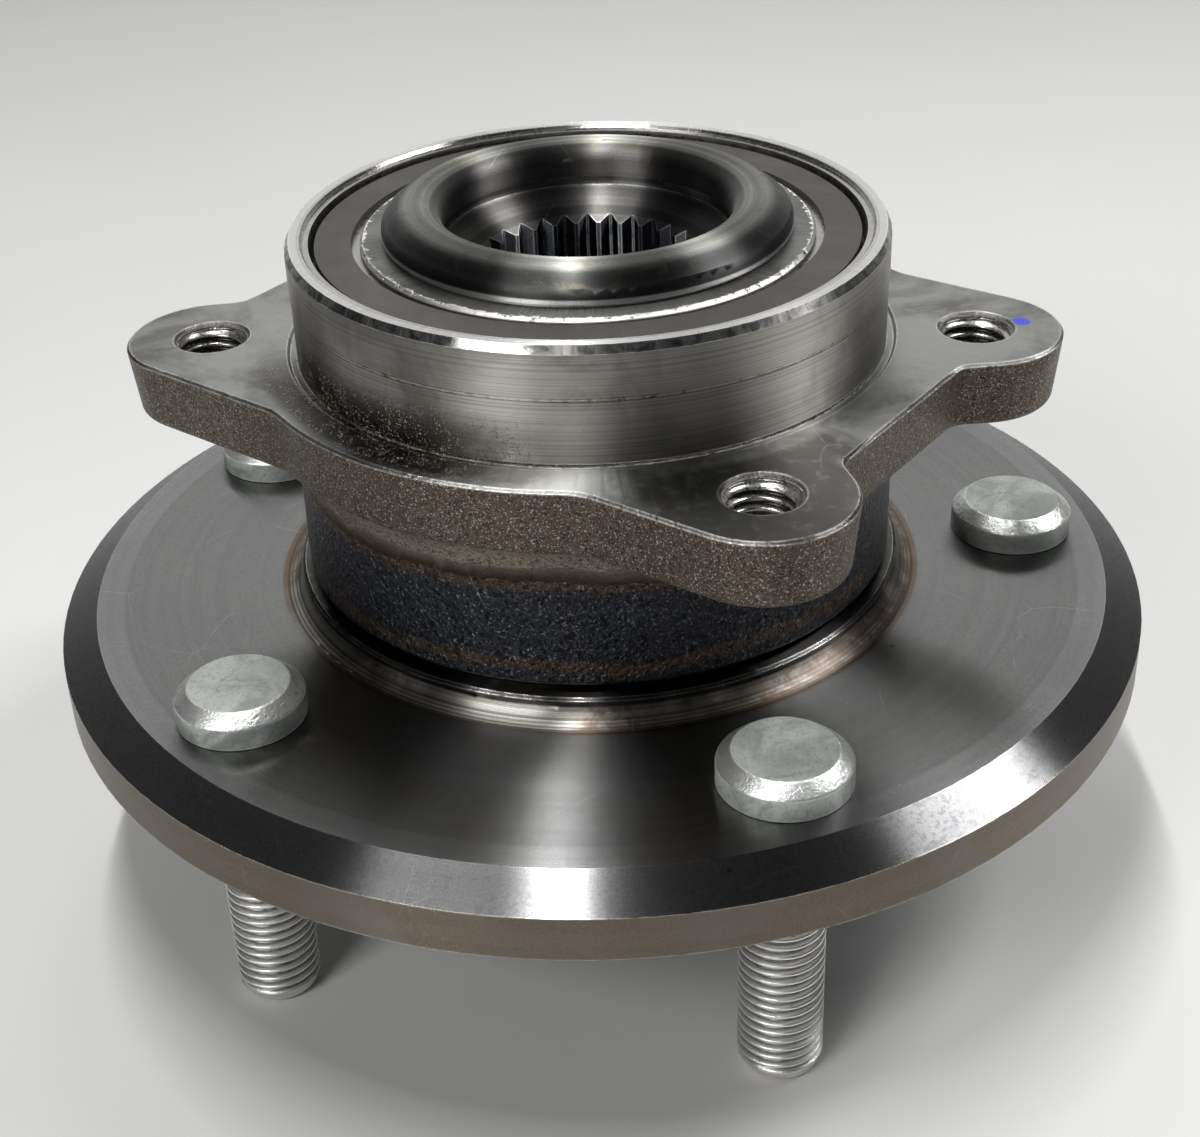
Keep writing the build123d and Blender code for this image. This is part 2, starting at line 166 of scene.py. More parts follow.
def place(tree):
    # object position, its distance from the axis, its height and its angle round the axis
    coords = addNode(tree, "ShaderNodeTexCoord").outputs["Object"]
    split = addNode(tree, "ShaderNodeSeparateXYZ")
    plug(tree, split.inputs[0], coords)
    x, y, z = split.outputs
    squares = calc(tree, "ADD", calc(tree, "MULTIPLY", x, x), calc(tree, "MULTIPLY", y, y))
    return coords, calc(tree, "SQRT", squares), z, calc(tree, "ARCTAN2", y, x)


def facing(tree):
    # how far the surface faces up in the object's own axes, from -1 to 1
    split = addNode(tree, "ShaderNodeSeparateXYZ")
    plug(tree, split.inputs[0], addNode(tree, "ShaderNodeTexCoord").outputs["Normal"])
    return split.outputs[2]


def startGroup(name, inputs, outputs):
    tree = bpy.data.node_groups.new(name, "ShaderNodeTree")
    for label, value in inputs.items():
        socket = tree.interface.new_socket(label, in_out="INPUT", socket_type="NodeSocketFloat")
        socket.default_value = value
    for label in outputs:
        tree.interface.new_socket(label, in_out="OUTPUT", socket_type="NodeSocketFloat")
    entry = tree.nodes.new("NodeGroupInput")
    leave = tree.nodes.new("NodeGroupOutput")
    return tree, entry.outputs, leave.inputs


def useGroup(tree, group, **values):
    node = addNode(tree, "ShaderNodeGroup", node_tree=group)
    for key, value in values.items():
        plug(tree, node.inputs[key], value)
    return node.outputs


# effects that several materials share
def makeTurningMarks():
    # rings left by a lathe tool: noise along radius + 0.83 height, with a slight wander, a coarser
    # tone, and streaks that run across the rings
    tree, given, out = startGroup(
        "turningMarks", {"Pitch": 2600.0, "Streaks": 90.0}, ("Height", "Tone", "Streak")
    )
    coords, radius, z, angle = place(tree)
    along = calc(tree, "ADD", radius, calc(tree, "MULTIPLY", z, 0.83))
    along = calc(tree, "ADD", along, calc(tree, "MULTIPLY", noise(tree, coords, 22.0, 2.0), 0.0004))
    fine = lineNoise(tree, along, given["Pitch"], 3.0, 0.75)
    coarse = lineNoise(tree, along, calc(tree, "MULTIPLY", given["Pitch"], 0.22), 3.0, 0.65)
    across = addNode(tree, "ShaderNodeCombineXYZ")
    plug(tree, across.inputs[0], calc(tree, "MULTIPLY", angle, given["Streaks"]))
    plug(tree, across.inputs[1], calc(tree, "MULTIPLY", along, 60.0))
    plug(tree, out["Height"], fine)
    plug(tree, out["Tone"], coarse)
    plug(tree, out["Streak"], noise(tree, across.outputs[0], 1.0, 4.0, 0.7))
    return tree


def makeBlastedSkin():
    # forged skin cleaned with shot: two sizes of grain on a slow swell; the high fine grains
    # glint and the low coarse ones are pits
    tree, given, out = startGroup("blastedSkin", {"Grain": 1500.0}, ("Height", "Pit", "Glint"))
    coords = place(tree)[0]
    coarse = noise(tree, coords, given["Grain"], 2.0, 0.6)
    fine = noise(tree, coords, calc(tree, "MULTIPLY", given["Grain"], 2.1), 2.0, 0.6)
    swell = noise(tree, coords, calc(tree, "MULTIPLY", given["Grain"], 0.16), 3.0)
    height = calc(tree, "ADD", calc(tree, "MULTIPLY", coarse, 0.6), calc(tree, "MULTIPLY", fine, 0.4))
    plug(tree, out["Height"], calc(tree, "ADD", height, swell))
    plug(tree, out["Pit"], ramp(tree, coarse, 0.49, 0.37))
    plug(tree, out["Glint"], ramp(tree, fine, 0.56, 0.68))
    return tree


def makeEdgeWear():
    # where the rounded normal leaves the flat one: bright rubbed edges, broken by noise
    tree, given, out = startGroup("edgeWear", {"Width": 0.0004, "Break": 500.0}, ("Mask",))
    bevel = addNode(tree, "ShaderNodeBevel", samples=4)
    plug(tree, bevel.inputs["Radius"], given["Width"])
    dot = addNode(tree, "ShaderNodeVectorMath", operation="DOT_PRODUCT")
    plug(tree, dot.inputs[0], bevel.outputs[0])
    plug(tree, dot.inputs[1], addNode(tree, "ShaderNodeNewGeometry").outputs["Normal"])
    edge = ramp(tree, calc(tree, "SUBTRACT", 1.0, dot.outputs["Value"]), 0.01, 0.12)
    broken = noise(tree, place(tree)[0], given["Break"], 3.0, 0.6)
    plug(tree, out["Mask"], both(tree, edge, ramp(tree, broken, 0.28, 0.52)))
    return tree


def makeSmears():
    # oily film and finger smears: warped slow noise, and a finer mottle on it
    tree, given, out = startGroup("smears", {"Size": 45.0}, ("Smear", "Mottle"))
    coords = place(tree)[0]
    plug(tree, out["Smear"], noise(tree, coords, given["Size"], 4.0, 0.6, 0.8))
    fine = noise(tree, coords, calc(tree, "MULTIPLY", given["Size"], 9.0), 4.0, 0.65, 0.4)
    plug(tree, out["Mottle"], fine)
    return tree


def makeScratches():
    # hairline scratches: the borders of large warped cells, cut to short lengths by a noise
    tree, given, out = startGroup("scratches", {"Scale": 60.0, "Width": 0.01}, ("Mask",))
    coords = place(tree)[0]
    warp = addNode(tree, "ShaderNodeTexNoise", noise_dimensions="3D")
    plug(tree, warp.inputs["Vector"], coords)
    fill(warp, Scale=35.0, Detail=1.0)
    shift = addNode(tree, "ShaderNodeVectorMath", operation="MULTIPLY_ADD")
    plug(tree, shift.inputs[0], warp.outputs["Color"])
    shift.inputs[1].default_value = (0.012, 0.012, 0.012)
    plug(tree, shift.inputs[2], coords)
    cell = addNode(tree, "ShaderNodeTexVoronoi", feature="DISTANCE_TO_EDGE")
    plug(tree, cell.inputs["Vector"], shift.outputs[0])
    plug(tree, cell.inputs["Scale"], given["Scale"])
    line = ramp(tree, cell.outputs["Distance"], given["Width"], 0.0)
    cut = noise(tree, coords, calc(tree, "MULTIPLY", given["Scale"], 1.4), 3.0, 0.6)
    plug(tree, out["Mask"], both(tree, line, ramp(tree, cut, 0.54, 0.62)))
    return tree


def makeGrit():
    # loose specks: the middles of some cells of a jittered grid, ragged by a fine noise
    tree, given, out = startGroup("grit", {"Scale": 600.0, "Size": 0.2, "Share": 0.3}, ("Mask",))
    coords = place(tree)[0]
    cell = addNode(tree, "ShaderNodeTexVoronoi", feature="F1")
    plug(tree, cell.inputs["Vector"], coords)
    plug(tree, cell.inputs["Scale"], given["Scale"])
    ragged = noise(tree, coords, calc(tree, "MULTIPLY", given["Scale"], 3.5), 2.0)
    reach = calc(tree, "ADD", cell.outputs["Distance"], calc(tree, "MULTIPLY", ragged, given["Size"]))
    spot = ramp(tree, reach, calc(tree, "MULTIPLY", given["Size"], 1.5), given["Size"])
    pick = addNode(tree, "ShaderNodeSeparateColor")
    plug(tree, pick.inputs[0], cell.outputs["Color"])
    plug(tree, out["Mask"], both(tree, spot, calc(tree, "LESS_THAN", pick.outputs[0], given["Share"])))
    return tree


turningMarks = makeTurningMarks()
blastedSkin = makeBlastedSkin()
edgeWear = makeEdgeWear()
smears = makeSmears()
scratches = makeScratches()
grit = makeGrit()


def startMaterial(name, **values):
    material = bpy.data.materials.new(name)
    material.use_nodes = True
    tree = material.node_tree
    shader = tree.nodes["Principled BSDF"]
    fill(shader, **values)
    return material, tree, shader


def finish(tree, shader, color, roughness, height, depth):
    # wires the colour, the roughness and a bump that is depth metres high where height is 1
    tree.links.new(color, shader.inputs["Base Color"])
    tree.links.new(roughness, shader.inputs["Roughness"])
    relief = fill(addNode(tree, "ShaderNodeBump"), Strength=1.0, Distance=depth)
    plug(tree, relief.inputs["Height"], height)
    tree.links.new(relief.outputs[0], shader.inputs["Normal"])


def roundTheAxis(tree, shader):
    # brushing runs round the Z axis: Z crossed with the position, turned into world directions,
    # and a quarter turn because the shader stretches a highlight along its tangent
    shader.inputs["Anisotropic Rotation"].default_value = 0.25
    cross = addNode(tree, "ShaderNodeVectorMath", operation="CROSS_PRODUCT")
    cross.inputs[0].default_value = (0.0, 0.0, 1.0)
    plug(tree, cross.inputs[1], addNode(tree, "ShaderNodeTexCoord").outputs["Object"])
    turn = addNode(tree, "ShaderNodeVectorTransform", vector_type="VECTOR",
                   convert_from="OBJECT", convert_to="WORLD")
    plug(tree, turn.inputs[0], cross.outputs[0])
    tree.links.new(turn.outputs[0], shader.inputs["Tangent"])


# wheel hub
hubLook = {
    "face": (0.20, 0.20, 0.197, 1.0),
    "outerRing": (0.24, 0.24, 0.238, 1.0),
    "bevel": (0.22, 0.22, 0.22, 1.0),
    "speck": (0.045, 0.05, 0.065, 1.0),
    # painted reflection: the rim's steel colour is tinted brown as if it reflected a brown floor
    "rim": (0.15, 0.128, 0.098, 1.0),
    "boss": (0.56, 0.545, 0.50, 1.0),
    "bossGrime": (0.055, 0.048, 0.040, 1.0),
    # painted shade: near black for the boss top in the gap under the outer ring
    "ledgeShade": (0.055, 0.052, 0.048, 1.0),
    "lip": (0.27, 0.27, 0.25, 1.0),
    # painted shade: the lip's outward slope is coloured much darker than the rest of the lip
    "lipSlopeShade": (0.075, 0.075, 0.073, 1.0),
    # painted highlight: a near-white band at the foot of the lip's outer wall
    "lipEdgeHighlight": (0.85, 0.85, 0.84, 1.0),
    "cone": (0.13, 0.125, 0.12, 1.0),
    "spline": (0.060, 0.066, 0.078, 1.0),
    "forged": (0.10, 0.092, 0.082, 1.0),
    "stain": (0.12, 0.075, 0.04, 1.0),
    "rust": (0.13, 0.078, 0.044, 1.0),
    "lipStain": (0.16, 0.14, 0.08, 1.0),
    "oil": (0.19, 0.19, 0.195, 1.0),
    "dots": (0.05, 0.05, 0.055, 1.0),
    "rubbed": (0.82, 0.81, 0.79, 1.0),
    "faceRoughness": 0.255,
    "smoothRoughness": 0.28,
    "lipRoughness": 0.44,
    "bossRoughness": 0.38,
    "speckRoughness": 0.31,
    "forgedRoughness": 0.5,
    "speckAmount": 0.4,
    "rustAmount": 0.8,
    "ledgeRubAmount": 0.15,
    "lipStainAmount": 0.5,
    "oilAmount": 0.3,
    "dotsAmount": 0.8,
    "wearAmount": 0.8,
    "hairlineAmount": 0.12,
    "brushing": 1.0,
    "relief": 0.000014,
}

# where each of the hub's surfaces starts and ends, by radius or height in mm
hubZones = {
    "bevelRadius": (75.3, 75.6),
    "bevelHeight": (6.9, 7.1),
    "rimRadius": (80.2, 80.5),
    "rimHeight": (7.15, 7.0),
    "outerRingRadius": (71.3, 71.7),
    "faceHeight": (10.2, 10.3),
    "bossRadius": (43.5, 47.3),
    "bossTop": (12.9, 12.5),
    "bossFoot": (9.9, 10.2),
    "ledgeHeight": (12.5, 12.9),
    "ledgeRadius": (40.0, 46.4),
    "lipHeight": (63.0, 63.2),
    "lipOutside": (24.0, 25.5),
    "lipEdgeTop": (64.5, 64.2),
    "coneRadius": (20.6, 20.3),
    "coneTop": (62.6, 61.9),
    "mouthRadius": (22.4, 21.4),
    "splineRadius": (16.9, 16.6),
    "pocketRadius": (27.7, 27.6),
    "pocketTop": (6.6, 6.2),
    "footRadius": (47.2, 47.9),
    "footHeight": (9.9, 11.0),
}


def makeHubSteel(look, zones):
    material, tree, shader = startMaterial("hubSteel", Metallic=1.0, Anisotropic=look["brushing"])
    coords, radius, z = place(tree)[:3]
    up = facing(tree)
    marks = useGroup(tree, turningMarks, Pitch=2300.0, Streaks=70.0)
    wear = useGroup(tree, edgeWear, Width=0.00035, Break=600.0)
    film = useGroup(tree, smears, Size=38.0)
    hairlines = useGroup(tree, scratches, Scale=55.0, Width=0.008)
    dots = useGroup(tree, grit, Scale=150.0, Size=0.06, Share=0.16)
    skin = useGroup(tree, blastedSkin, Grain=1500.0)

    tilted = band(tree, up, 0.6, 0.93, 0.03)
    upright = ramp(tree, up, 0.5, 0.3)
    bevelZone = both(
        tree, past(tree, radius, zones["bevelRadius"]), past(tree, z, zones["bevelHeight"]), tilted
    )
    rimZone = both(tree, past(tree, radius, zones["rimRadius"]), past(tree, z, zones["rimHeight"]))
    outerZone = both(tree, past(tree, radius, zones["outerRingRadius"]), past(tree, z, zones["faceHeight"]))
    bossZone = within(tree, radius, zones["bossRadius"], 0.25)
    bossZone = both(tree, bossZone, past(tree, z, zones["bossTop"]), past(tree, z, zones["bossFoot"]))
    ledgeZone = both(
        tree, past(tree, z, zones["ledgeHeight"]), within(tree, radius, zones["ledgeRadius"], 0.2)
    )
    lipZone = past(tree, z, zones["lipHeight"])
    outward = past(tree, radius, zones["lipOutside"])
    # the lip's outward slope, where shade is painted into the colour
    lipSlopeShade = both(tree, lipZone, outward, ramp(tree, up, 0.97, 0.86))
    # the foot of the lip's outer wall, where a bright band is painted in as a highlight
    lipEdgeHighlight = both(tree, lipZone, outward, ramp(tree, up, 0.55, 0.35), past(tree, z, zones["lipEdgeTop"]))
    leadCone = both(tree, past(tree, radius, zones["coneRadius"]), past(tree, z, zones["coneTop"]))
    coneZone = either(tree, leadCone, both(tree, lipZone, past(tree, radius, zones["mouthRadius"])))
    splineZone = both(tree, past(tree, radius, zones["splineRadius"]), upright)
    pocketZone = both(tree, past(tree, radius, zones["pocketRadius"]), past(tree, z, zones["pocketTop"]))

    # the turned metal: light and dark rings, a film of oil and a few small dark dots
    grain = noise(tree, coords, 3800.0, 2.0, 0.7)
    lines = either(tree, lipZone, bossZone, coneZone)
    darkest, lightest = mixValue(tree, lines, 0.96, 0.72), mixValue(tree, lines, 1.04, 1.2)
    tone = ramp(tree, marks["Tone"], 0.3, 0.7, darkest, lightest)
    tone = both(tree, tone, ramp(tree, grain, 0.3, 0.7, 0.88, 1.12))
    color = mixColor(tree, outerZone, look["face"], look["outerRing"])
    freckles = noise(tree, coords, 1300.0, 3.0, 0.7)
    speckle = both(tree, ramp(tree, freckles, 0.48, 0.62), ramp(tree, film["Smear"], 0.42, 0.62))
    specked = both(tree, speckle, look["speckAmount"])
    bevelColor = mixColor(tree, specked, look["bevel"], look["speck"])
    color = mixColor(tree, bevelZone, color, bevelColor)
    # the rim's brown tint is a painted reflection of a brown floor
    color = mixColor(tree, rimZone, color, look["rim"])
    patches = ramp(tree, film["Mottle"], 0.40, 0.55, 0.4, 1.0)
    rusted = both(tree, bossZone, ramp(tree, film["Smear"], 0.46, 0.58), patches)
    grimy = ramp(tree, lineNoise(tree, z, 1900.0, 4.0, 0.8), 0.40, 0.62, 0.0, 0.8)
    color = mixColor(tree, bossZone, color, mixColor(tree, grimy, look["boss"], look["bossGrime"]))
    color = mixColor(tree, both(tree, rusted, look["rustAmount"]), color, look["rust"])
    # the boss top in the gap under the outer ring is painted near black as shade, lightened in patches by a
    # mottle
    ledgeRub = both(tree, ramp(tree, film["Mottle"], 0.50, 0.72), look["ledgeRubAmount"])
    color = mixColor(tree, ledgeZone, color, mixColor(tree, ledgeRub, look["ledgeShade"], look["boss"]))
    color = mixColor(tree, lipZone, color, look["lip"])
    color = mixColor(tree, lipSlopeShade, color, look["lipSlopeShade"])
    color = mixColor(tree, lipEdgeHighlight, color, look["lipEdgeHighlight"])
    color = mixColor(tree, coneZone, color, look["cone"])
    color = mixColor(tree, splineZone, color, look["spline"])
    tinted = addNode(tree, "ShaderNodeVectorMath", operation="SCALE")
    plug(tree, tinted.inputs[0], color)
    plug(tree, tinted.inputs["Scale"], tone)
    color = tinted.outputs[0]
    foot = within(tree, radius, zones["footRadius"], 0.5)
    foot = both(tree, foot, within(tree, z, zones["footHeight"], 0.2))
    foot = both(tree, foot, ramp(tree, film["Smear"], 0.36, 0.6, 0.25, 0.9))
    color = mixColor(tree, foot, color, look["stain"])
    lipStain = both(tree, lipZone, ramp(tree, up, 0.5, 0.7), ramp(tree, film["Mottle"], 0.52, 0.72))
    lipStain = both(tree, lipStain, look["lipStainAmount"])
    color = mixColor(tree, lipStain, color, look["lipStain"])
    color = mixColor(tree, pocketZone, color, look["forged"])
    smeared = both(tree, ramp(tree, film["Smear"], 0.48, 0.7), look["oilAmount"])
    color = mixColor(tree, smeared, color, look["oil"])
    color = mixColor(tree, both(tree, dots["Mask"], look["dotsAmount"]), color, look["dots"])
    color = mixColor(tree, both(tree, wear["Mask"], look["wearAmount"]), color, look["rubbed"])
    hairline = both(tree, hairlines["Mask"], look["hairlineAmount"])
    color = mixColor(tree, hairline, color, look["rubbed"])

    smooth = either(tree, bevelZone, rimZone, lipZone, bossZone)
    rough = mixValue(tree, smooth, look["faceRoughness"], look["smoothRoughness"])
    rough = mixValue(tree, either(tree, lipZone, coneZone), rough, look["lipRoughness"])
    rough = mixValue(tree, either(tree, lipEdgeHighlight, bossZone), rough, look["bossRoughness"])
    rough = mixValue(tree, both(tree, bevelZone, speckle), rough, look["speckRoughness"])
    rough = mixValue(tree, pocketZone, rough, look["forgedRoughness"])
    rough = calc(tree, "ADD", rough, around(tree, marks["Streak"], 0.5, 0.03))
    rough = calc(tree, "ADD", rough, around(tree, film["Smear"], 0.5, 0.06))
    rough = calc(tree, "ADD", rough, around(tree, grain, 0.5, 0.025))

    turned = calc(tree, "MULTIPLY", marks["Height"], calc(tree, "SUBTRACT", 1.0, pocketZone))
    turned = calc(tree, "SUBTRACT", turned, both(tree, hairlines["Mask"], 0.3))
    height = calc(tree, "ADD", turned, both(tree, skin["Height"], pocketZone, 12.0))
    finish(tree, shader, color, rough, height, look["relief"])
    roundTheAxis(tree, shader)
    return material


# outer ring
ringLook = {
    "scale": (0.030, 0.032, 0.039, 1.0),
    "scaleGlint": (0.30, 0.305, 0.33, 1.0),
    "rust": (0.095, 0.062, 0.036, 1.0),
    "blasted": (0.112, 0.092, 0.067, 1.0),
    # painted reflection: the neck under the lug flange is lighter, as if it reflected the lit hub flange
    # below
    "neck": (0.27, 0.235, 0.18, 1.0),
    "pit": (0.030, 0.024, 0.017, 1.0),
    "glint": (0.66, 0.61, 0.54, 1.0),
    "turned": (0.34, 0.34, 0.325, 1.0),
    "turnedDark": (0.13, 0.127, 0.118, 1.0),
    "ground": (0.40, 0.39, 0.365, 1.0),
    "groundDark": (0.14, 0.128, 0.112, 1.0),
    "burr": (0.92, 0.91, 0.89, 1.0),
    "soil": (0.045, 0.038, 0.030, 1.0),
    "flake": (0.62, 0.54, 0.40, 1.0),
    "paint": (0.008, 0.03, 0.46, 1.0),
    "paintAt": (61.1, -3.6),
    "film": (0.085, 0.068, 0.046, 1.0),
    "scalePit": (0.004, 0.004, 0.005, 1.0),
    "topMottle": (0.60, 0.60, 0.58, 1.0),
    "stepLine": (0.10, 0.062, 0.030, 1.0),
    "crown": (0.62, 0.61, 0.59, 1.0),
    "crownNick": (0.05, 0.05, 0.055, 1.0),
    "inside": (0.44, 0.43, 0.42, 1.0),
    "hairline": (0.70, 0.69, 0.67, 1.0),
    "skinRoughness": 0.40,
    "machinedRoughness": 0.34,
    "barrelRoughness": 0.30,
    "pilotRoughness": 0.43,
    "crownRoughness": 0.25,
    "metallic": (0.85, 1.0),
    "pitAmount": 0.75,
    "filmAmount": 0.45,
    "glintAmount": 0.75,
    "rustAmount": 0.75,
    "scalePitAmount": 0.7,
    "topMottleAmount": 0.15,
    "stainAmount": 0.55,
    "nickAmount": 0.8,
    "soilAmount": 0.75,
    "mouthWearAmount": 0.7,
    "hairlineAmount": 0.15,
    "deeperSkin": 1.5,
    "brushing": 0.95,
    "relief": 0.00042,
}

# where each of the ring's surfaces starts and ends, by radius or height in mm; frontLug is in
# degrees round the axis, soilStart and soilEnd in radians
ringZones = {
    "lugTop": (47.2, 47.4),
    "pilotFoot": (47.86, 47.95),
    "crownHeight": (63.0, 63.1),
    "boreRadius": (40.6, 40.3),
    "mouthHeight": (15.7, 15.4),
    "barrelTop": (33.0, 30.6),
    "barrelRadius": (45.2, 44.2),
    "neckHeight": (31.5, 37.5),
    "neckRadius": (48.5, 47.0),
    "lowRust": (17.5, 18.6),
    "highRust": (30.0, 32.0),
    "lugRadius": (44.5, 47.0),
    "stepHeight": (56.6, 57.1),
    "soilRadius": (41.9, 46.5),
    "soilHeight": (47.0, 50.5),
    "burrHeight": (46.9, 47.2),
    "paintRadius": (2.0, 1.7),
    "paintHeight": 47.8,
    "frontLug": (-82.0, -52.0),
    "soilStart": -2.75,
    "soilEnd": -1.95,
}


def makeRingSteel(look, zones):
    material, tree, shader = startMaterial("ringSteel", Anisotropic=look["brushing"])
    coords, radius, z, angle = place(tree)
    up = facing(tree)
    marks = useGroup(tree, turningMarks, Pitch=3000.0, Streaks=60.0)
    wear = useGroup(tree, edgeWear, Width=0.00045, Break=900.0)
    film = useGroup(tree, smears, Size=55.0)
    hairlines = useGroup(tree, scratches, Scale=70.0, Width=0.010)
    lugTop = both(tree, past(tree, z, zones["lugTop"]), ramp(tree, up, 0.55, 0.75))
    pilot = past(tree, z, zones["pilotFoot"])
    crown = either(tree, past(tree, z, zones["crownHeight"]), both(tree, pilot, ramp(tree, up, 0.3, 0.5)))
    inside = past(tree, radius, zones["boreRadius"])
    mouth = past(tree, z, zones["mouthHeight"])
    machined = either(tree, lugTop, pilot, inside, mouth)
    swing = both(tree, around(tree, film["Smear"], 0.5, 1.0), 0.006)
    level = calc(tree, "ADD", z, swing)
    barrel = both(tree, past(tree, level, zones["barrelTop"]), past(tree, radius, zones["barrelRadius"]))
    skin = useGroup(tree, blastedSkin, Grain=mixValue(tree, barrel, 1800.0, 1150.0))

    # blasted skin on the lugs, heat scale with rusty bands on the barrel
    neck = both(tree, within(tree, z, zones["neckHeight"], 1.0), past(tree, radius, zones["neckRadius"]))
    # the neck's lighter colour is a painted reflection of the hub flange below it
    color = mixColor(tree, neck, look["blasted"], look["neck"])
    color = mixColor(tree, both(tree, skin["Pit"], look["pitAmount"]), color, look["pit"])
    smeared = both(tree, ramp(tree, film["Smear"], 0.42, 0.68), look["filmAmount"])
    color = mixColor(tree, smeared, color, look["film"])
    color = mixColor(tree, both(tree, skin["Glint"], look["glintAmount"]), color, look["glint"])
    rusty = within(tree, level, zones["lowRust"], 0.6)
    rusty = either(tree, rusty, within(tree, level, zones["highRust"], 1.2))
    scale = mixColor(tree, both(tree, rusty, look["rustAmount"]), look["scale"], look["rust"])
    scale = mixColor(tree, both(tree, skin["Pit"], look["scalePitAmount"]), scale, look["scalePit"])
    glints = both(tree, skin["Glint"], ramp(tree, film["Mottle"], 0.35, 0.65, 0.15, 0.8))
    scale = mixColor(tree, glints, scale, look["scaleGlint"])
    color = mixColor(tree, barrel, color, scale)

    # turned lug faces, greyer towards the front lug, and the ground pilot with its relief
    front = band(tree, angle, radians(zones["frontLug"][0]), radians(zones["frontLug"][1]), 0.12)
    front = both(tree, front, past(tree, radius, zones["lugRadius"]))
    cloud = either(tree, ramp(tree, film["Smear"], 0.40, 0.70), front)
    top = mixColor(tree, cloud, look["turned"], look["turnedDark"])
    mottled = both(tree, ramp(tree, film["Mottle"], 0.50, 0.70), look["topMottleAmount"])
    top = mixColor(tree, mottled, top, look["topMottle"])
    color = mixColor(tree, lugTop, color, top)
    fineRings = lineNoise(tree, z, 2600.0, 5.0, 0.8)
    ground = mixColor(tree, ramp(tree, fineRings, 0.40, 0.72, 0.0, 0.6), look["ground"], look["groundDark"])
    stained = both(tree, ramp(tree, film["Smear"], 0.46, 0.66), look["stainAmount"])
    ground = mixColor(tree, stained, ground, look["groundDark"])
    stepLine = within(tree, z, zones["stepHeight"], 0.15)
    stepLine = both(tree, stepLine, ramp(tree, film["Smear"], 0.3, 0.6, 0.55, 1.0))
    ground = mixColor(tree, stepLine, ground, look["stepLine"])
    color = mixColor(tree, pilot, color, ground)
    nicked = both(tree, ramp(tree, up, 0.97, 0.9), ramp(tree, film["Mottle"], 0.42, 0.62))
    nicked = both(tree, nicked, look["nickAmount"])
    color = mixColor(tree, crown, color, mixColor(tree, nicked, look["crown"], look["crownNick"]))
    color = mixColor(tree, inside, color, look["inside"])

    # dirt and metal flakes where the pilot meets the lug face, thickest at the left front
    soiled = both(
        tree, within(tree, radius, zones["soilRadius"], 2.0), within(tree, z, zones["soilHeight"], 5.0)
    )
    soilArc = band(tree, angle, zones["soilStart"], zones["soilEnd"], 0.35)
    soiled = both(tree, soiled, soilArc, ramp(tree, film["Smear"], 0.25, 0.45))
    color = mixColor(tree, both(tree, soiled, look["soilAmount"]), color, look["soil"])
    footDirt = both(tree, soiled, skin["Glint"], ramp(tree, film["Mottle"], 0.40, 0.55))
    color = mixColor(tree, footDirt, color, look["flake"])
    burrLine = both(tree, wear["Mask"], past(tree, z, zones["burrHeight"]))
    color = mixColor(tree, burrLine, color, look["burr"])
    mouthWear = both(tree, wear["Mask"], mouth, look["mouthWearAmount"])
    color = mixColor(tree, mouthWear, color, look["burr"])
    hairline = both(tree, hairlines["Mask"], look["hairlineAmount"])
    color = mixColor(tree, hairline, color, look["hairline"])
    paint = addNode(tree, "ShaderNodeVectorMath", operation="DISTANCE")
    plug(tree, paint.inputs[0], coords)
    paintX, paintY = look["paintAt"]
    paint.inputs[1].default_value = (paintX * mm, paintY * mm, zones["paintHeight"] * mm)
    ragged = calc(tree, "ADD", paint.outputs["Value"], both(tree, noise(tree, coords, 900.0), 0.0012))
    dot = past(tree, ragged, zones["paintRadius"])
    color = mixColor(tree, dot, color, look["paint"])

    metal = mixValue(tree, either(tree, machined, burrLine), *look["metallic"])
    metal = both(tree, metal, calc(tree, "SUBTRACT", 1.0, either(tree, dot, both(tree, footDirt, 0.7))))
    tree.links.new(metal, shader.inputs["Metallic"])
    rough = mixValue(tree, machined, look["skinRoughness"], look["machinedRoughness"])
    rough = mixValue(tree, barrel, rough, look["barrelRoughness"])
    rough = mixValue(tree, pilot, rough, look["pilotRoughness"])
    rough = mixValue(tree, crown, rough, look["crownRoughness"])
    rough = calc(tree, "ADD", rough, around(tree, marks["Streak"], 0.5, 0.2))
    rough = calc(tree, "ADD", rough, around(tree, film["Mottle"], 0.5, 0.12))

    turned = both(tree, marks["Height"], machined, 0.03)
    unturned = calc(tree, "SUBTRACT", 1.0, machined)
    deeper = mixValue(tree, either(tree, barrel, neck), 1.0, look["deeperSkin"])
    raw = both(tree, skin["Height"], unturned, deeper)
    height = calc(tree, "ADD", calc(tree, "ADD", turned, raw), both(tree, footDirt, 0.25))
    finish(tree, shader, color, rough, height, look["relief"])
    roundTheAxis(tree, shader)
    return material


# inner ring, seals, balls and cages
raceLook = {
    "face": (0.19, 0.187, 0.178, 1.0),
    "dull": (0.10, 0.096, 0.090, 1.0),
    "chipped": (0.90, 0.89, 0.87, 1.0),
    "chipRadius": (31.15, 31.4),
    "chipHeight": (62.6, 62.7),
    "roughness": 0.36,
    "brushing": 0.6,
    "relief": 0.000014,
}


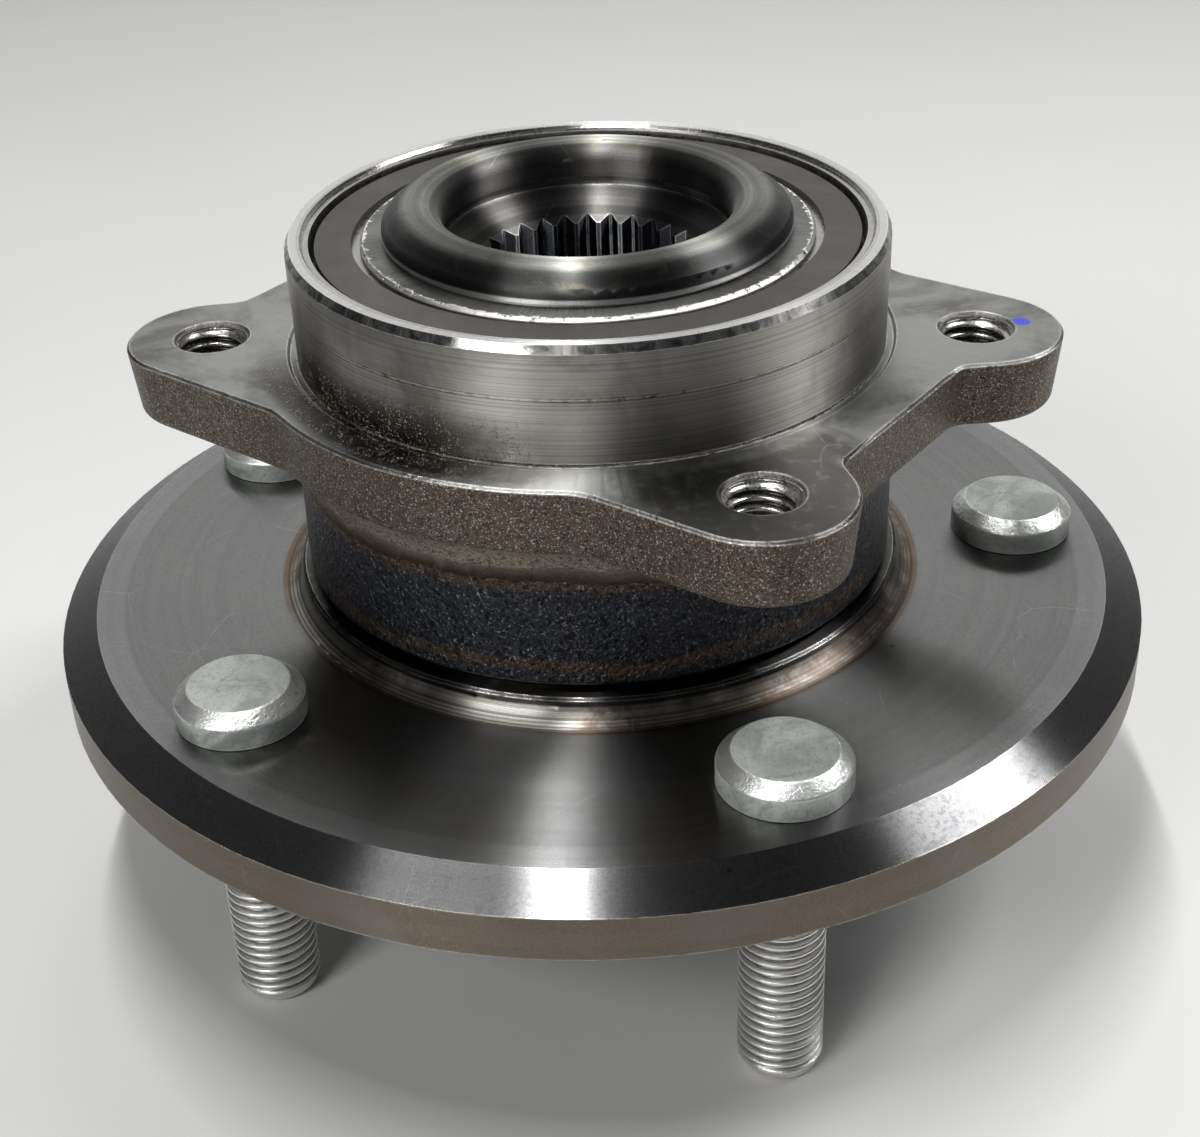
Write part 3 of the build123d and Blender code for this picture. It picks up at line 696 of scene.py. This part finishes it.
def makeRaceSteel(look):
    material, tree, shader = startMaterial("raceSteel", Metallic=1.0, Anisotropic=look["brushing"])
    radius, z = place(tree)[1:3]
    marks = useGroup(tree, turningMarks, Pitch=4200.0, Streaks=170.0)
    wear = useGroup(tree, edgeWear, Width=0.0004, Break=1500.0)
    film = useGroup(tree, smears, Size=80.0)
    # scores that run out along the radius, and a chipped outer edge
    score = ramp(tree, marks["Streak"], 0.50, 0.62)
    color = mixColor(tree, ramp(tree, film["Smear"], 0.40, 0.62), look["face"], look["dull"])
    color = mixColor(tree, both(tree, score, 0.2), color, look["chipped"])
    ragged = calc(tree, "ADD", radius, both(tree, around(tree, film["Mottle"], 0.5, 1.0), 0.0032))
    chip = both(tree, past(tree, ragged, look["chipRadius"]), past(tree, z, look["chipHeight"]))
    color = mixColor(tree, either(tree, chip, wear["Mask"]), color, look["chipped"])
    rough = calc(tree, "ADD", look["roughness"], around(tree, marks["Streak"], 0.35, 0.3))
    height = calc(tree, "ADD", marks["Height"], both(tree, marks["Streak"], 3.0))
    height = calc(tree, "ADD", height, both(tree, chip, film["Mottle"], 10.0))
    finish(tree, shader, color, rough, height, look["relief"])
    roundTheAxis(tree, shader)
    return material


innerLook = {
    "sheet": (0.52, 0.51, 0.49, 1.0),
    "sheetDark": (0.24, 0.23, 0.22, 1.0),
    "seal": (0.022, 0.022, 0.024, 1.0),
    "sealPale": (0.035, 0.035, 0.037, 1.0),
    "encoder": (0.050, 0.046, 0.044, 1.0),
    "encoderPale": (0.072, 0.066, 0.062, 1.0),
    "dust": (0.26, 0.24, 0.22, 1.0),
    "dustAmount": 0.45,
    "ball": (0.74, 0.74, 0.745, 1.0),
    "ballDark": (0.60, 0.60, 0.61, 1.0),
    "nylon": (0.66, 0.60, 0.47, 1.0),
    "nylonDark": (0.52, 0.46, 0.34, 1.0),
    "sheetRoughness": (0.24, 0.42),
    "rubberRoughness": 0.55,
    "ballRoughness": (0.07, 0.25),
    "nylonRoughness": (0.38, 0.55),
    "sheetRelief": 0.00001,
    "rubberRelief": 0.00005,
    "ballRelief": 0.000001,
    "nylonRelief": 0.00003,
}


def makeSheetSteel(look):
    material, tree, shader = startMaterial("sealSteel", Metallic=1.0)
    marks = useGroup(tree, turningMarks, Pitch=3000.0, Streaks=40.0)
    film = useGroup(tree, smears, Size=110.0)
    color = mixColor(tree, film["Smear"], look["sheet"], look["sheetDark"])
    rough = ramp(tree, film["Mottle"], 0.3, 0.7, *look["sheetRoughness"])
    height = calc(tree, "ADD", marks["Height"], film["Mottle"])
    finish(tree, shader, color, rough, height, look["sheetRelief"])
    return material


def makeRubber(name, look, shade, grain):
    # moulded rubber: a fine matt grain with a little bloom and dust on it
    material, tree, shader = startMaterial(name)
    film = useGroup(tree, smears, Size=60.0)
    skin = useGroup(tree, blastedSkin, Grain=grain)
    dust = useGroup(tree, grit, Scale=800.0, Size=0.12, Share=0.10)
    fill(shader, Specular_IOR_Level=0.22)
    color = mixColor(tree, ramp(tree, film["Smear"], 0.35, 0.7), look[shade], look[shade + "Pale"])
    color = mixColor(tree, both(tree, dust["Mask"], look["dustAmount"]), color, look["dust"])
    rough = calc(tree, "ADD", look["rubberRoughness"], around(tree, film["Mottle"], 0.5, 0.16))
    finish(tree, shader, color, rough, skin["Height"], look["rubberRelief"])
    return material


def makeBallSteel(look):
    material, tree, shader = startMaterial("ballSteel", Metallic=1.0)
    film = useGroup(tree, smears, Size=190.0)
    hairlines = useGroup(tree, scratches, Scale=220.0, Width=0.008)
    color = mixColor(tree, film["Smear"], look["ball"], look["ballDark"])
    rough = ramp(tree, hairlines["Mask"], 0.0, 1.0, *look["ballRoughness"])
    finish(tree, shader, color, rough, film["Mottle"], look["ballRelief"])
    return material


def makeCageNylon(look):
    # glass-filled nylon: cream, with short fibres showing as faint flow streaks
    material, tree, shader = startMaterial("cageNylon")
    coords = place(tree)[0]
    film = useGroup(tree, smears, Size=80.0)
    skin = useGroup(tree, blastedSkin, Grain=2200.0)
    flow = noise(tree, coords, 260.0, 5.0, 0.7, 1.5)
    color = mixColor(tree, flow, look["nylon"], look["nylonDark"])
    rough = ramp(tree, film["Mottle"], 0.3, 0.7, *look["nylonRoughness"])
    finish(tree, shader, color, rough, skin["Height"], look["nylonRelief"])
    return material


# studs
studLook = {
    "zinc": (0.58, 0.61, 0.57, 1.0),
    "zincDark": (0.31, 0.335, 0.31, 1.0),
    # worn steel on rubbed edges, also used for a painted highlight on the chamfer
    "wornAndHighlight": (0.90, 0.91, 0.89, 1.0),
    "scuff": (0.20, 0.21, 0.20, 1.0),
    "thread": (0.86, 0.85, 0.83, 1.0),
    # painted shade for the thread roots
    "threadRootShade": (0.10, 0.095, 0.09, 1.0),
    "mottleAmount": 0.6,
    "pitAmount": 0.35,
    "hairlineAmount": 0.6,
    "wornAndHighlightAmount": 0.9,
    "metallic": (0.3, 0.9),
    "roughness": (0.46, 0.36),
    "relief": 0.00009,
    "shankTop": (2.0, 0.0),
    "chamferFoot": (11.0, 12.0),
    "threadPitch": 1.5,
    "threadDepth": 0.86,
    "threadEnd": 1.5,
    "threadRunIn": (0.3, 2.6),
    "threadRunOut": 2.2,
    "shankRadius": 5.95,
    "shankEnds": (-0.75, 0.0),
    "pressRadius": 6.55,
    "pressEnds": (0.6, 6.0),
    "pressUndercut": 0.4,
    "headRadius": 8.97,
    "headTopRadius": 7.0,
    "headHeight": 5.0,
    "headSide": 3.3,
    "cornerCuts": (0.05, 0.25, 0.30, 0.30),
    "cornerSteps": 5,
    "noseRadius": 3.6,
    "noseSwell": 2.35,
    "noseHeight": 2.4,
    "noseSteps": 8,
    "axisHole": 0.02,
    "rowsPerPitch": 12,
    "sides": 72,
}


def makeStudZinc(look):
    # zinc flake coating on the head, with a painted highlight on its chamfer, bare rolled thread with
    # painted shade in its roots on the shank
    material, tree, shader = startMaterial("studZinc")
    z = place(tree)[2]
    wear = useGroup(tree, edgeWear, Width=0.0007, Break=900.0)
    film = useGroup(tree, smears, Size=120.0)
    hairlines = useGroup(tree, scratches, Scale=160.0, Width=0.02)
    skin = useGroup(tree, blastedSkin, Grain=2300.0)
    groove = addNode(tree, "ShaderNodeAttribute", attribute_name="groove").outputs["Fac"]
    shank = past(tree, z, look["shankTop"])
    up = facing(tree)
    topFlat = ramp(tree, up, 0.93, 0.99)
    chamfer = both(tree, band(tree, up, 0.45, 0.90, 0.06), past(tree, z, look["chamferFoot"]))
    color = mixColor(tree, ramp(tree, film["Smear"], 0.36, 0.64), look["zinc"], look["zincDark"])
    mottled = both(tree, film["Mottle"], topFlat, look["mottleAmount"])
    color = mixColor(tree, mottled, color, look["zincDark"])
    color = mixColor(tree, both(tree, skin["Pit"], look["pitAmount"]), color, look["scuff"])
    hairline = both(tree, hairlines["Mask"], look["hairlineAmount"])
    color = mixColor(tree, hairline, color, look["scuff"])
    color = mixColor(tree, shank, color, look["thread"])
    # painted shade: the thread roots darken with their depth in the groove
    color = mixColor(tree, both(tree, ramp(tree, groove, 0.25, 0.95), shank), color, look["threadRootShade"])
    # the chamfer is lightened in patches towards the worn colour as a painted highlight; the rounded edges
    # from edgeWear get real wear
    chamferHighlight = ramp(tree, film["Mottle"], 0.62, 0.5, 0.4, 1.0)
    rubbed = either(tree, wear["Mask"], both(tree, chamfer, chamferHighlight))
    color = mixColor(tree, both(tree, rubbed, look["wornAndHighlightAmount"]), color, look["wornAndHighlight"])
    metal = mixValue(tree, either(tree, shank, chamfer), *look["metallic"])
    tree.links.new(metal, shader.inputs["Metallic"])
    rough = mixValue(tree, either(tree, shank, chamfer), *look["roughness"])
    rough = calc(tree, "ADD", rough, around(tree, film["Mottle"], 0.5, 0.3))
    height = calc(tree, "SUBTRACT", skin["Height"], both(tree, hairlines["Mask"], 0.5))
    finish(tree, shader, color, rough, height, look["relief"])
    return material


def makeMesh(name, points, faces, groove, body, material):
    # a smooth mesh at the origin; each point also keeps how deep in a thread it lies
    mesh = bpy.data.meshes.new(name)
    mesh.from_pydata(points * mm, [], faces)
    mesh.polygons.foreach_set("use_smooth", np.ones(len(mesh.polygons), bool))
    kept = mesh.attributes.new("groove", "FLOAT", "POINT")
    kept.data.foreach_set("value", groove.astype(np.float32))
    mesh.materials.append(material)
    piece = bpy.data.objects.new(name, mesh)
    bpy.context.scene.collection.objects.link(piece)
    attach(piece, body)
    return piece


def ringQuads(rows, columns, closed=False):
    # four corners of each cell between two rows of points, each row closed right round
    row, column = np.meshgrid(np.arange(rows if closed else rows - 1), np.arange(columns), indexing="ij")
    beside = (column + 1) % columns
    below = (row + 1) % rows
    row, below = row * columns, below * columns
    corners = (row + column, row + beside, below + beside, below + column)
    return np.stack(corners, axis=-1).reshape(-1, 4)


crestShare = 0.14
flankShare = 0.66


def threadShape(height, angle, pitch):
    # one turn of a rolled thread: 0 at the crest, 1 at the root, with both rounded
    turn = (height / pitch - angle / (2 * np.pi)) % 1.0
    away = np.abs(turn - 0.5) * 2.0
    ramped = np.clip((away - crestShare) / flankShare, 0.0, 1.0)
    return ramped * ramped * (3.0 - 2.0 * ramped)


def screwPoints(centerX, centerY, radius, turned, height):
    # cylindrical to plain coordinates about an upright axis
    x = centerX + radius * np.cos(turned)
    y = centerY + radius * np.sin(turned)
    return np.stack([x, y, height], axis=-1).reshape(-1, 3)


def smoothProfile(corners, sizes, count):
    # a polyline whose corners are cut by short quadratic arcs, given as (radius, height) rows
    rows = [corners[0]]
    for before, at, after, size in zip(corners, corners[1:], corners[2:], sizes):
        before, at, after = np.array(before), np.array(at), np.array(after)
        first = at + (before - at) / np.linalg.norm(before - at) * size
        last = at + (after - at) / np.linalg.norm(after - at) * size
        steps = np.linspace(0.0, 1.0, count)[:, None]
        arc = (1 - steps) ** 2 * first + 2 * steps * (1 - steps) * at + steps**2 * last
        rows.extend(arc.tolist())
    rows.append(corners[-1])
    return np.array(rows)


def makeStud(number, look, material):
    # a profile turned about the stud's own axis; along the shank the radius drops by the thread's
    # depth times threadShape, which runs in at the tip and out under the flange
    low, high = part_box(f"wheel_stud_{number}")
    centerX, centerY = (low.x + high.x) / 2 / mm, (low.y + high.y) / 2 / mm
    tip, top = low.z / mm, high.z / mm
    seat, side, press = top - look["headHeight"], look["headRadius"], look["pressRadius"]
    corners = [
        (press, seat - look["pressUndercut"]), (press, seat), (side, seat),
        (side, seat + look["headSide"]), (look["headTopRadius"], top), (look["axisHole"], top),
    ]
    head = smoothProfile(corners, look["cornerCuts"], look["cornerSteps"])
    threadTop, shank = -look["threadEnd"], look["shankRadius"]
    noseTop = tip + look["noseHeight"]
    turnIn = np.linspace(0.0, np.pi / 2, look["noseSteps"], endpoint=False)
    noseRadii = look["noseRadius"] + look["noseSwell"] * np.sin(turnIn)
    nose = np.stack([noseRadii, tip + look["noseHeight"] * (1 - np.cos(turnIn))], axis=-1)
    count = int((threadTop - tip) / look["threadPitch"] * look["rowsPerPitch"])
    heights = np.linspace(noseTop, threadTop, count)
    bolt = np.stack([np.full(heights.shape, shank), heights], axis=-1)
    neck = np.array([
        *((shank, end) for end in look["shankEnds"]), *((press, end) for end in look["pressEnds"])
    ])
    profile = np.concatenate([[(look["axisHole"], tip)], nose, bolt, neck, head])
    angle = np.linspace(0.0, 2 * np.pi, look["sides"], endpoint=False)
    radius, turned = np.meshgrid(profile[:, 0], angle, indexing="ij")
    height = np.repeat(profile[:, 1:], len(angle), axis=1)
    start, length = look["threadRunIn"]
    runIn = np.clip((height - tip - start) / length, 0.0, 1.0)
    runOut = np.clip((threadTop - height) / look["threadRunOut"], 0.0, 1.0)
    groove = runIn * runOut * threadShape(height, turned, look["threadPitch"])
    radius = radius - look["threadDepth"] * groove
    points = screwPoints(centerX, centerY, radius, turned, height)
    rows, columns = groove.shape
    # one point closes each end
    points = np.concatenate([points, [[centerX, centerY, tip], [centerX, centerY, top]]])
    spot = np.arange(columns)
    following = (spot + 1) % columns
    last = (rows - 1) * columns
    lowFan = np.stack([following, spot, np.full(columns, rows * columns)], axis=-1)
    highFan = np.stack([spot + last, following + last, np.full(columns, rows * columns + 1)], axis=-1)
    faces = [*ringQuads(rows, columns).tolist(), *lowFan.tolist(), *highFan.tolist()]
    depths = np.concatenate([groove.ravel(), [0.0, 0.0]])
    piece = makeMesh(f"stud_{number}", points, faces, depths, "rotating_hub", material)
    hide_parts(f"wheel_stud_{number}")


# threads in the four lugs
lugLook = {
    "metal": (0.64, 0.63, 0.61, 1.0),
    "dull": (0.36, 0.35, 0.33, 1.0),
    # painted shade for the thread roots
    "rootShade": (0.06, 0.055, 0.05, 1.0),
    "roughness": (0.20, 0.38),
    "relief": 0.00001,
    "angles": (-5.0, -68.3, 178.6, 108.1),
    "circle": 54.7,
    "threadPitch": 1.5,
    "threadDepth": 0.8,
    "threadBottom": 38.3,
    "threadTop": 46.95,
    "threadFade": 1.1,
    "innerWall": 4.93,
    "outerWall": 5.12,
    "rows": 96,
    "sides": 64,
}


def makeThreadSteel(look):
    material, tree, shader = startMaterial("threadSteel", Metallic=1.0)
    film = useGroup(tree, smears, Size=200.0)
    groove = addNode(tree, "ShaderNodeAttribute", attribute_name="groove").outputs["Fac"]
    color = mixColor(tree, film["Smear"], look["metal"], look["dull"])
    # painted shade: the thread roots darken with their depth in the groove
    color = mixColor(tree, ramp(tree, groove, 0.45, 1.0), color, look["rootShade"])
    rough = ramp(tree, film["Mottle"], 0.3, 0.7, *look["roughness"])
    finish(tree, shader, color, rough, film["Mottle"], look["relief"])
    return material


def makeLugThread(number, angleDegrees, look, material):
    # a thin closed sleeve: a thread on its inside, a plain wall hidden in the lug on its outside
    centerX = look["circle"] * np.cos(radians(angleDegrees))
    centerY = look["circle"] * np.sin(radians(angleDegrees))
    bottom, top, outer = look["threadBottom"], look["threadTop"], look["outerWall"]
    heights = np.linspace(top, bottom, look["rows"])
    inner = np.stack([np.full(look["rows"], look["innerWall"]), heights], axis=-1)
    profile = np.concatenate([inner, [(outer, bottom), (outer, top)]])
    angle = np.linspace(0.0, 2 * np.pi, look["sides"], endpoint=False)
    radius, turned = np.meshgrid(profile[:, 0], angle, indexing="ij")
    height = np.repeat(profile[:, 1:], len(angle), axis=1)
    runOut = np.clip((top - height) / look["threadFade"], 0.0, 1.0)
    fade = runOut * np.clip((height - bottom) / look["threadFade"], 0.0, 1.0)
    groove = threadShape(height, turned, look["threadPitch"])
    crest = look["threadDepth"] * fade * (1.0 - groove)
    radius = radius - np.where(radius < outer, crest, 0.0)
    points = screwPoints(centerX, centerY, radius, turned, height)
    faces = ringQuads(*groove.shape, closed=True).tolist()
    depths = (groove * fade).ravel()
    makeMesh(f"lug_thread_{number}", points, faces, depths, "fixed_ring", material)


hubSteel = makeHubSteel(hubLook, hubZones)
ringSteel = makeRingSteel(ringLook, ringZones)
raceSteel = makeRaceSteel(raceLook)
sealSteel = makeSheetSteel(innerLook)
sealRubber = makeRubber("sealRubber", innerLook, "seal", 3000.0)
encoderRubber = makeRubber("encoderRubber", innerLook, "encoder", 2600.0)
ballSteel = makeBallSteel(innerLook)
cageNylon = makeCageNylon(innerLook)
studZinc = makeStudZinc(studLook)
threadSteel = makeThreadSteel(lugLook)
print("materials made")

nodeMaterials = {
    "wheel_hub": hubSteel, "outer_ring": ringSteel, "inner_ring": raceSteel,
    "outboard_seal_case": sealSteel, "inboard_seal_case": sealSteel, "seal_slinger": sealSteel,
    "outboard_seal_lip": sealRubber, "inboard_seal_lip": sealRubber, "encoder_ring": encoderRubber,
    "outboard_cage": cageNylon, "inboard_cage": cageNylon,
}
for name, node in nodes.items():
    material = nodeMaterials.get(name, studZinc if name.startswith("wheel_stud") else ballSteel)
    node.data.materials.clear()
    node.data.materials.append(material)

studCount = sum(name.startswith("wheel_stud") for name in nodes)
for number in range(1, studCount + 1):
    makeStud(number, studLook, studZinc)
for number, angleDegrees in enumerate(lugLook["angles"], start=1):
    makeLugThread(number, angleDegrees, lugLook, threadSteel)
print("studs and lug threads made")

# floor, light and camera
stageLook = {
    "floor": (0.66, 0.655, 0.645, 1.0),
    "floorPale": (0.71, 0.705, 0.695, 1.0),
    "floorRoughness": 0.75,
    "floorReach": 14.0,
    "floorPatches": 9.0,
    "skyGlow": (0.95, 0.955, 0.95, 1.0),
    "skyDark": (0.032, 0.033, 0.036, 1.0),
    "glowTowards": (0.0, 0.87, 0.49),
    "glowEdge": (0.82, 0.95),
}
lampLook = {
    "keyLamp": {"at": (-0.085, -0.07, 0.86), "size": (0.02, 0.54), "power": 4.8},
    "backLamp": {"at": (-0.03, 0.47, 0.74), "size": (0.12, 0.22), "power": 0.4},
    "rightLamp": {"at": (0.58, 0.10, 0.66), "size": (0.16, 0.34), "power": 3.8},
    "frontLamp": {"at": (-0.60, -0.79, 0.68), "size": (0.45, 0.35), "power": 5.6},
}
cameraLook = {"at": (0.0, -0.2677, 0.1685), "down": 31.06, "roll": -2.09, "lens": 60.915, "sensor": 36.0}

floorHeight = cadBounds[0].z
reach = stageLook["floorReach"]
floorSquare = ((-reach, -reach), (reach, -reach), (reach, reach), (-reach, reach))
floorCorners = [(x, y, floorHeight) for x, y in floorSquare]
floorMesh = bpy.data.meshes.new("floor")
floorMesh.from_pydata(floorCorners, [], [(0, 1, 2, 3)])
floor = bpy.data.objects.new("floor", floorMesh)
bpy.context.scene.collection.objects.link(floor)
floorPaint, tree, shader = startMaterial("floorPaint", Roughness=stageLook["floorRoughness"])
patches = noise(tree, place(tree)[0], stageLook["floorPatches"], 4.0)
tint = mixColor(tree, patches, stageLook["floor"], stageLook["floorPale"])
tree.links.new(tint, shader.inputs["Base Color"])
floorMesh.materials.append(floorPaint)

# a dim room with a soft glow behind the part, which its level faces pick up
world = bpy.data.worlds.new("softStudio")
bpy.context.scene.world = world
world.use_nodes = True
tree = world.node_tree
towards = addNode(tree, "ShaderNodeVectorMath", operation="DOT_PRODUCT")
plug(tree, towards.inputs[0], addNode(tree, "ShaderNodeTexCoord").outputs["Generated"])
towards.inputs[1].default_value = stageLook["glowTowards"]
glow = ramp(tree, towards.outputs["Value"], *stageLook["glowEdge"])
sky = mixColor(tree, glow, stageLook["skyDark"], stageLook["skyGlow"])
tree.links.new(sky, tree.nodes["Background"].inputs["Color"])


def addLamp(name, look):
    # a rectangular softbox that looks at the origin
    lamp = bpy.data.lights.new(name, "AREA")
    lamp.shape = "RECTANGLE"
    lamp.size, lamp.size_y = look["size"]
    lamp.energy = look["power"]
    holder = bpy.data.objects.new(name, lamp)
    bpy.context.scene.collection.objects.link(holder)
    holder.location = look["at"]
    holder.rotation_euler = (-Vector(look["at"])).to_track_quat("-Z", "Y").to_euler()
    return holder


lamps = {name: addLamp(name, look) for name, look in lampLook.items()}
# the long key lamp hangs level, its long side from front to back
lamps["keyLamp"].rotation_euler = (0.0, 0.0, 0.0)

camera = bpy.data.cameras.new("camera")
camera.sensor_fit = "HORIZONTAL"
camera.sensor_width = cameraLook["sensor"]
camera.lens = cameraLook["lens"]
cameraHolder = bpy.data.objects.new("camera", camera)
bpy.context.scene.collection.objects.link(cameraHolder)
tilt = Matrix.Rotation(radians(90.0 - cameraLook["down"]), 4, "X")
roll = Matrix.Rotation(radians(cameraLook["roll"]), 4, "Z")
cameraHolder.matrix_world = Matrix.Translation(cameraLook["at"]) @ tilt @ roll
bpy.context.scene.camera = cameraHolder
bpy.context.scene.view_settings.view_transform = "Standard"
print("floor, lamps and camera placed")
